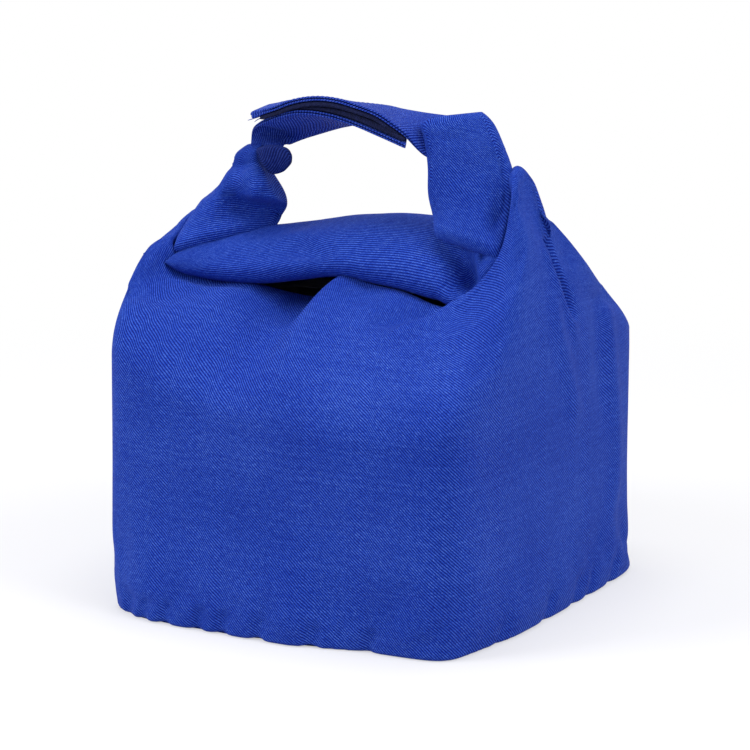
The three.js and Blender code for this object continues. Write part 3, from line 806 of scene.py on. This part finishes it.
# A collar is drawn in at the twist; below it the right side bulges over a deep hollow above the roll.
LEFT_EAR_FOLDS = [
    dict(line=[(-84, -5, 229), (-79, -15, 229), (-72, -17, 231), (-64, -18, 231), (-54, -17, 225)],
         depth=3, ahead=2.6, behind=4, side=UP),
    dict(line=[(-72, -17, 226), (-64, -19, 221), (-57, -18, 215)], depth=-3, ahead=7),
    dict(line=[(-84, -27, 211), (-73, -22, 208.5), (-63, -18, 205), (-55, -11, 201), (-48, -2, 198)],
         depth=11, ahead=7, behind=10, side=UP, toward=(-0.3, 0.95, 0)),
    dict(line=[(-80, -10, 236), (-86, -14, 222), (-94, -22, 208)], depth=1.6, ahead=4),
]
LEFT_EAR_BIAS = math.radians(-40)
right = pillow(RIGHT_EAR_EDGES, EAR_ROUND, EAR_ALONG, squareness=2.5, end=0.05, blunt=0.9)
left = pillow(LEFT_EAR_EDGES, EAR_ROUND, EAR_ALONG, squareness=3.4, end=0.06)
right_ear = sheet_of("right_ear", press_all(right, RIGHT_EAR_FOLDS))
left_ear = sheet_of("left_ear", press_all(left, LEFT_EAR_FOLDS), bias=LEFT_EAR_BIAS)
dress_handle(right_ear, canvas, "right_ear_wrap", "right_ear_core")
dress_handle(left_ear, canvas, "left_ear_wrap", "left_ear_core")

# Corner tab: the rounded corner of the mouth that curls out of the twist on the left.
# Its canvas is painted darker all over, as painted shade for the shadow under the strap and the twist, with
# the same painted highlights and shade in its weave as the wall.
SHADED_TAB_TONES = [
    (0.00, (0.001, 0.004, 0.06)),
    (0.40, (0.003, 0.014, 0.15)),
    (0.70, (0.012, 0.036, 0.25)),
    (1.00, (0.100, 0.140, 0.42)),
]
painted_shade_canvas = canvas_finish("painted_shade_canvas", SHADED_TAB_TONES)
TAB_EDGES = [
    (0.00, -66, -12, 238, -64, -9, 230, 3.4),
    (0.35, -57, -17, 241, -59.2, -8, 224.5, 3.2),
    (0.65, -49, -18, 241.6, -52.9, -8, 225.6, 3),
    (0.88, -43, -17.5, 239.5, -48, -10, 228.6, 2.8),
    (1.00, -42, -16, 235.5, -44, -13, 232, 2.4),
]
TAB_ROUND = 48
TAB_ALONG = 48
corner_tab = sheet_of("corner_tab", pillow(TAB_EDGES, TAB_ROUND, TAB_ALONG, squareness=4, end=0.05))
dress_handle(corner_tab, painted_shade_canvas, "left_corner_tab")

# Upper strap: two plies of the same canvas, edge-stitched, that leave the right ear's top, twist
# flat and lap over the lower strap, with the hook tape sewn underneath.
STRAP_PLY = 1.3
STRAP_ROUND = 40
STRAP_ALONG = 140
# The tip is turned under, so the last stops are thicker.
UPPER_EDGES = [
    (0.00, 62, -8, 250, 62, 2, 260, STRAP_PLY),
    (0.09, 49, -9, 243, 54, 3, 262.6, STRAP_PLY),
    (0.17, 38, -13, 243, 45.9, 4, 262, STRAP_PLY),
    (0.25, 29.1, -21, 255.3, 25.8, 8, 261.2, STRAP_PLY),
    (0.31, 22.4, -23, 260.3, 12.1, 10, 261.6, STRAP_PLY),
    (0.38, 14.6, -24, 264.8, 3, 11, 262.4, STRAP_PLY),
    (0.47, 2.6, -24, 268, -9.8, 12, 262.4, STRAP_PLY),
    (0.56, -9.5, -24, 270.3, -21.7, 12, 262.2, STRAP_PLY),
    (0.69, -25.9, -24, 270, -39.9, 13, 262.2, STRAP_PLY),
    (0.79, -38.2, -24, 267, -51.7, 13, 261, STRAP_PLY),
    (0.88, -48.6, -23, 262.7, -61, 13, 259.6, STRAP_PLY),
    (0.95, -57, -22, 259.8, -67, 12, 257.8, 1.5 * STRAP_PLY),
    (1.00, -64.3, -21, 257, -71.2, 11, 256.2, 2.6 * STRAP_PLY),
]
PLY_GAP = 0.15
PLY_LIFT = (STRAP_PLY + PLY_GAP) / 2
# The strap's tones: the darkest stop is painted shade between yarns, the whitish top stop a painted highlight
# on the crests.
STRAP_TONES_AND_PAINTED_LIGHT = [
    (0.00, (0.001, 0.006, 0.13)),
    (0.40, (0.005, 0.030, 0.33)),
    (0.70, (0.024, 0.074, 0.49)),
    (1.00, (0.175, 0.275, 0.70)),
]
strap_canvas = canvas_finish("strap_canvas", STRAP_TONES_AND_PAINTED_LIGHT)


def strap_ply(name, edges, lift, body, node, root, free, folds=()):
    """One ply of a strap with its folds, lifted off the strap's middle; its root is not used."""
    places = pillow(edges, STRAP_ROUND, STRAP_ALONG, squareness=6, end=0.012, blunt=0.96, lift=lift)
    ply = sheet_of(name, press_all(places, folds))
    dress(ply, strap_canvas, "strap", node)
    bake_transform(ply)


# In metres: the strap's root and a place further along it.
UPPER_BEND = ((0.066, -0.005, 0.262), (0.034, -0.005, 0.262))
strap_ply("upper_face_ply", UPPER_EDGES, -PLY_LIFT, "upper_strap", "upper_strap_face", *UPPER_BEND)
strap_ply("upper_backing_ply", UPPER_EDGES, PLY_LIFT, "upper_strap", "upper_strap_backing", *UPPER_BEND)

HOOK_PILE = 3.0
HOOK_SPAN = (0.27, 0.97)
TAPE_MARGIN = 0.5
TAPE_ALONG = 110
TAPE_TONES = [
    (0.00, (0.003, 0.005, 0.025)),
    (0.60, (0.009, 0.014, 0.070)),
    (1.00, (0.050, 0.070, 0.220)),
]


def tape_finish():
    """Dark navy hook-and-loop tape: a dense pile of short bristles on a woven ground."""
    finish = Finish(bpy.data.materials.new("navy_tape"))
    cloth = finish.add("ShaderNodeUVMap", {"uv_map": "weave"})
    bristles = finish.add("ShaderNodeTexVoronoi", {}, {"Vector": cloth, "Scale": 1300.0})
    pile = finish.add("ShaderNodeTexNoise", {}, {"Vector": cloth, "Scale": 400.0, "Detail": 4.0})
    tone = finish.add("ShaderNodeValToRGB", {"stops": TAPE_TONES}, {0: pile * 1.2 - bristles * 0.4})
    relief = pile - bristles
    bump = finish.add("ShaderNodeBump", {}, {"Strength": 1.0, "Distance": 0.6 * MM, "Height": relief})
    return finish.shade(Base_Color=tone, Roughness=0.85 + pile * 0.1, Normal=bump, Specular_IOR_Level=0.2)


navy_tape = tape_finish()


def tape(name, edges, piles, between, body, node):
    """A tape sewn along a strap's face, short of its edges, with a pile for each of the strap's stops."""
    seat = PLY_LIFT + STRAP_PLY / 2
    pile_edges = [(*stop[:7], pile) for stop, pile in zip(edges, piles)]
    places = pillow(pile_edges, STRAP_ROUND, TAPE_ALONG, squareness=5, end=0.02, blunt=0.97,
                    lift=seat, margin=TAPE_MARGIN, between=between, on_top=True)
    piece = sheet_of(name, places)
    dress(piece, navy_tape, "tape", node)
    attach(piece, body)


tape("hook_band", UPPER_EDGES, [HOOK_PILE] * len(UPPER_EDGES), HOOK_SPAN, "upper_strap", "hook_tape")

# Edge stitching: one row of lockstitch along each long edge of a strap, seen on both faces.
# It is sewn in blue polyester thread and holds the two plies together.
STITCH_PITCH = 3.0
STITCH_LENGTH = 2.3
STITCH_THICK = 0.44
STITCH_SINK = 0.1
STITCH_MARGIN = 2.8
STITCHED_SPAN = (0.24, 0.985)
ROW_STEPS = 400


def thread_finish():
    """Twisted polyester thread: slanted strands, a little glossier than the canvas."""
    finish = Finish(bpy.data.materials.new("blue_thread"))
    place = finish.add("ShaderNodeTexCoord", {}, {}, output=3)
    strands = finish.add("ShaderNodeTexWave", {}, {"Vector": place, "Scale": 900.0, "Distortion": 2.0})
    stops = [(0.0, (0.012, 0.030, 0.21)), (1.0, (0.045, 0.10, 0.48))]
    tone = finish.add("ShaderNodeValToRGB", {"stops": stops}, {0: strands})
    return finish.shade(Base_Color=tone, Roughness=0.55 + strands * 0.15, Specular_IOR_Level=0.3)


blue_thread = thread_finish()


def stitch_rows(name, edges, body):
    """Rows of short stitches along both edges and both faces of a strap, joined into one piece."""
    share = np.linspace(*STITCHED_SPAN, ROW_STEPS)
    middle, half, face, _ = band_frame(edges, share)
    stitch_lift = PLY_LIFT + STRAP_PLY / 2 - STITCH_SINK
    size = Matrix.Diagonal((STITCH_LENGTH / 2, STITCH_THICK / 2, STITCH_THICK / 2, 1 / MM)) * MM
    bm = bmesh.new()
    for edge in (-1, 1):
        for side in (-1, 1):
            row = middle + (half - unit(half) * STITCH_MARGIN) * edge + face * stitch_lift * side
            run = np.concatenate([[0], np.cumsum(np.linalg.norm(np.diff(row, axis=0), axis=1))])
            for at in np.arange(STITCH_PITCH, run[-1] - STITCH_PITCH, STITCH_PITCH):
                k = np.searchsorted(run, at)
                along = Vector(unit(row[k] - row[k - 1]))
                up = Vector(face[k])
                turn = Matrix((along, up.cross(along), up)).transposed().to_4x4()
                spot = Matrix.Translation(Vector(row[k]) * MM)
                bmesh.ops.create_uvsphere(bm, u_segments=6, v_segments=4, radius=1, matrix=spot @ turn @ size)
    for part in bm.faces:
        part.smooth = True
    stitches = piece_from(bm, name)
    dress(stitches, blue_thread, "strap")
    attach(stitches, body)


stitch_rows("upper_stitching", UPPER_EDGES, "upper_strap")

# Frayed ends: two blue threads that have come loose at the upper strap's tip.
# They hang down past the end of the lap.
THREAD_THICK = 0.5
THREAD_ROUND = 8
THREAD_ALONG = 16
FRAYED_ENDS = {
    "long_frayed_end": [(-61, -14, 256.4), (-65, -15, 255), (-69.5, -15.5, 253.4)],
    "short_frayed_end": [(-60.5, -12, 255.8), (-64.5, -13, 254), (-66.8, -13, 252.4)],
}
for name, line in FRAYED_ENDS.items():
    thread_edges = []
    for k, (x, y, z) in enumerate(line):
        above, below = z + THREAD_THICK / 2, z - THREAD_THICK / 2
        thread_edges.append((k / (len(line) - 1), x, y, above, x, y, below, THREAD_THICK))
    frayed = sheet_of(name, pillow(thread_edges, THREAD_ROUND, THREAD_ALONG, end=0.3, blunt=0.2))
    dress(frayed, blue_thread, "strap")
    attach(frayed, "upper_strap")

# Lower strap: the matching band from the left ear. It comes out of the twist on edge and turns
# level under the upper strap, with the loop tape sewn on top.
LOWER_EDGES = [
    (0.00, -71.8, -8, 237, -54, -6, 238, STRAP_PLY),
    (0.08, -69, -12, 246, -54, 0, 239, STRAP_PLY),
    (0.18, -61, -17, 252.6, -49.6, 6, 241.7, STRAP_PLY),
    (0.33, -39.3, -22, 260.9, -38.2, 10, 246, STRAP_PLY),
    (0.44, -26.5, -23, 262.3, -28.2, 12, 249.4, STRAP_PLY),
    (0.54, -14.9, -23, 261.5, -20.8, 12, 251.4, STRAP_PLY),
    (0.66, -1.9, -23, 259, -13.4, 12, 253.4, STRAP_PLY),
    (0.83, 14, -23, 254.4, 0, 11, 254, STRAP_PLY),
    (1.00, 31, -22.5, 248.9, 15.1, 9, 252.2, STRAP_PLY),
]
LOWER_BEND = ((-0.072, -0.005, 0.243), (-0.054, -0.005, 0.243))
TWIST_FOLDS = [
    dict(line=[(-66, -15, 250.5), (-62, -11, 247.5), (-57.5, -5.5, 244), (-52, 2, 240.5)],
         depth=4.5, ahead=5, behind=6, toward=(-0.3, 0.75, 0.55)),
]
strap_ply("lower_face_ply", LOWER_EDGES, PLY_LIFT, "lower_strap", "lower_strap_face",
          *LOWER_BEND, TWIST_FOLDS)
strap_ply("lower_backing_ply", LOWER_EDGES, -PLY_LIFT, "lower_strap", "lower_strap_backing",
          *LOWER_BEND, TWIST_FOLDS)
LOOP_PILES = [2, 2, 2, 2.2, 2.6, 3.4, 4.2, 4.4, 2.6]
LOOP_SPAN = (0.24, 0.985)
tape("loop_band", LOWER_EDGES, LOOP_PILES, LOOP_SPAN, "lower_strap", "loop_tape")
stitch_rows("lower_stitching", LOWER_EDGES, "lower_strap")

# Studio: a white paper floor that runs out to a white surround, and square soft lamps:
# one overhead, one in front on the left and two on the right.
FLOOR_REACH = 6.0
NEAR_BAG = 0.25
FAR_OUT = 0.75
bm = bmesh.new()
bmesh.ops.create_grid(bm, x_segments=1, y_segments=1, size=FLOOR_REACH / 2)
floor = piece_from(bm, "studio_floor")


def seen_directly(finish):
    """One for the rays that show the background: from the camera, a reflection or through glass."""
    camera_ray = finish.add("ShaderNodeLightPath")
    glossy_ray = finish.other_output(camera_ray, "Is Glossy Ray")
    clear_ray = finish.other_output(camera_ray, "Is Transmission Ray")
    return camera_ray.math("MAXIMUM", glossy_ray).math("MAXIMUM", clear_ray)


paper = Finish(bpy.data.materials.new("white_paper"))
spot = paper.add("ShaderNodeTexCoord", {}, {}, output=3)
distance = paper.add("ShaderNodeVectorMath", {"operation": "LENGTH"}, {0: spot}, output=1)
away = paper.add(
    "ShaderNodeMapRange",
    {"interpolation_type": "SMOOTHSTEP"},
    {"Value": distance, "From Min": NEAR_BAG, "From Max": FAR_OUT},
)
grain = paper.add("ShaderNodeTexNoise", {}, {"Vector": spot, "Scale": 40.0, "Detail": 3.0})
sheet_tones = [(0.3, (0.73, 0.73, 0.74)), (0.7, (0.77, 0.77, 0.78))]
sheet = paper.add("ShaderNodeBsdfDiffuse", {}, {
    "Color": paper.add("ShaderNodeValToRGB", {"stops": sheet_tones}, {0: grain}),
})
shadow_side = paper.add("ShaderNodeBsdfDiffuse", {}, {"Color": (0.44, 0.44, 0.45, 1)})
lift = paper.add("ShaderNodeEmission", {}, {"Color": (0.985, 0.985, 1, 1), "Strength": 0.5})
white = paper.add("ShaderNodeEmission", {}, {"Color": (1, 1, 1, 1), "Strength": 1.0})
near = paper.add("ShaderNodeAddShader", {}, {0: shadow_side, 1: lift})
shown = paper.add("ShaderNodeMixShader", {}, {0: away, 1: near, 2: white})
ground = paper.add("ShaderNodeMixShader", {}, {0: seen_directly(paper), 1: sheet, 2: shown})
paper.add("ShaderNodeOutputMaterial", {}, {"Surface": ground})
floor.data.materials.append(paper.holder)

AMBIENT = 0.52
surround = bpy.data.worlds.new("studio")
bpy.context.scene.world = surround
air = Finish(surround)
brightness = air.add(
    "ShaderNodeMapRange", {}, {"Value": seen_directly(air), "To Min": AMBIENT, "To Max": 1.0}
)
sky = air.add("ShaderNodeBackground", {}, {"Color": (1, 1, 1, 1), "Strength": brightness})
air.add("ShaderNodeOutputWorld", {}, {"Surface": sky})

LAMP_AIM = Vector((0, 0, 0.12))


def soft_lamp(name, place, size, power):
    """A square soft box aimed at the bag's middle."""
    lamp = bpy.data.lights.new(name, "AREA")
    lamp.size = size
    lamp.energy = power
    holder = set_down(name, lamp)
    holder.location = place
    holder.rotation_euler = (LAMP_AIM - Vector(place)).to_track_quat("-Z", "Y").to_euler()


soft_lamp("top_lamp", place=(0, 0, 1.9), size=1.0, power=14)
soft_lamp("left_lamp", place=(-1.15, -1.3, 1.2), size=0.8, power=18)
soft_lamp("right_lamp", place=(1.3, -0.2, 1.5), size=0.8, power=10)
soft_lamp("low_right_lamp", place=(2.0, -0.15, 0.45), size=0.6, power=4)

# Camera: stands where the photograph was taken from, solved from the base corners.
# Its long lens keeps the bag's upright lines nearly parallel.
CAMERA_AZIMUTH = math.radians(29.169)
CAMERA_ELEVATION = math.radians(13.405)
CAMERA_DISTANCE = 2.1548
CAMERA_TARGET = Vector((0, 0, 0.118))
back = Vector((
    math.sin(CAMERA_AZIMUTH) * math.cos(CAMERA_ELEVATION),
    -math.cos(CAMERA_AZIMUTH) * math.cos(CAMERA_ELEVATION),
    math.sin(CAMERA_ELEVATION),
))
lens = bpy.data.cameras.new("photo_camera")
lens.sensor_width = 36
lens.lens = 192
camera = set_down("photo_camera", lens)
camera.location = CAMERA_TARGET + back * CAMERA_DISTANCE
camera.rotation_euler = (-back).to_track_quat("-Z", "Y").to_euler()
bpy.context.scene.camera = camera
bpy.context.scene.view_settings.view_transform = "Standard"
